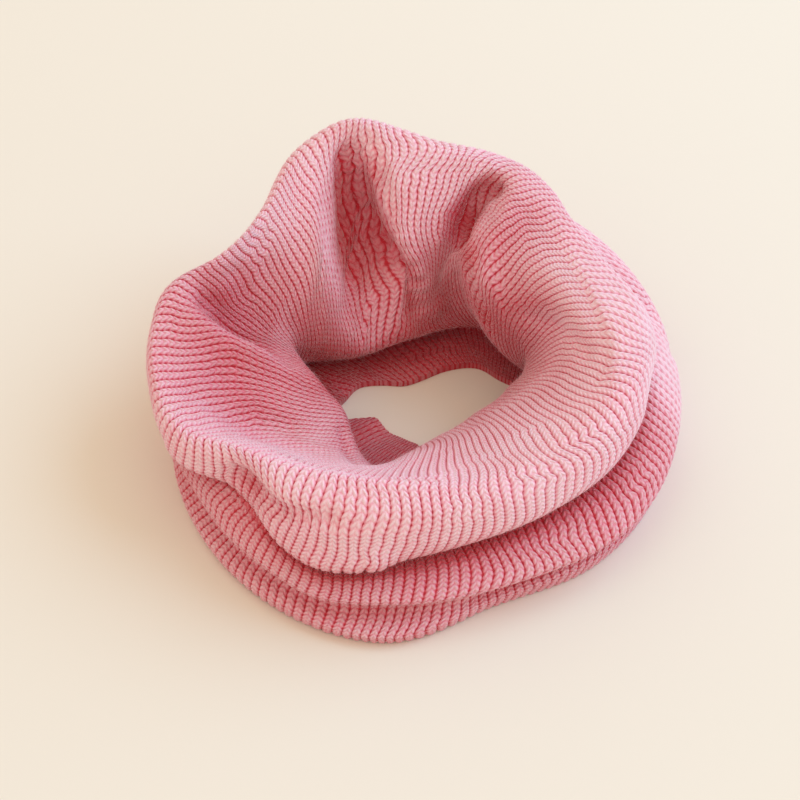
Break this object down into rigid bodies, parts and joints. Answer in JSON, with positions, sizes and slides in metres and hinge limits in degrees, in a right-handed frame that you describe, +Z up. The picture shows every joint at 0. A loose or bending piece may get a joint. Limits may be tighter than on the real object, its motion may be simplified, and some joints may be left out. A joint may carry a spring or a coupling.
{
  "type": "infinity scarf",
  "caption": "Rib-knit infinity scarf, a closed tube slumped into a ring that stands by itself, open at the neck.",
  "frame": {"origin": "on the table, at the centre of the box round the ring", "axes": "+Z up from the table, +X to the right and +Y to the back as the picture shows it"},
  "size_m": [0.2632, 0.257, 0.1096],
  "materials": {
    "knit": "matte rib knit"
  },
  "bodies": {
    "root": {"outer_hem_band": "knit", "lower_wall": "knit", "lower_roll": "knit", "upper_roll": "knit", "inner_drape": "knit", "inner_hem_band": "knit"}
  },
  "joints": []
}
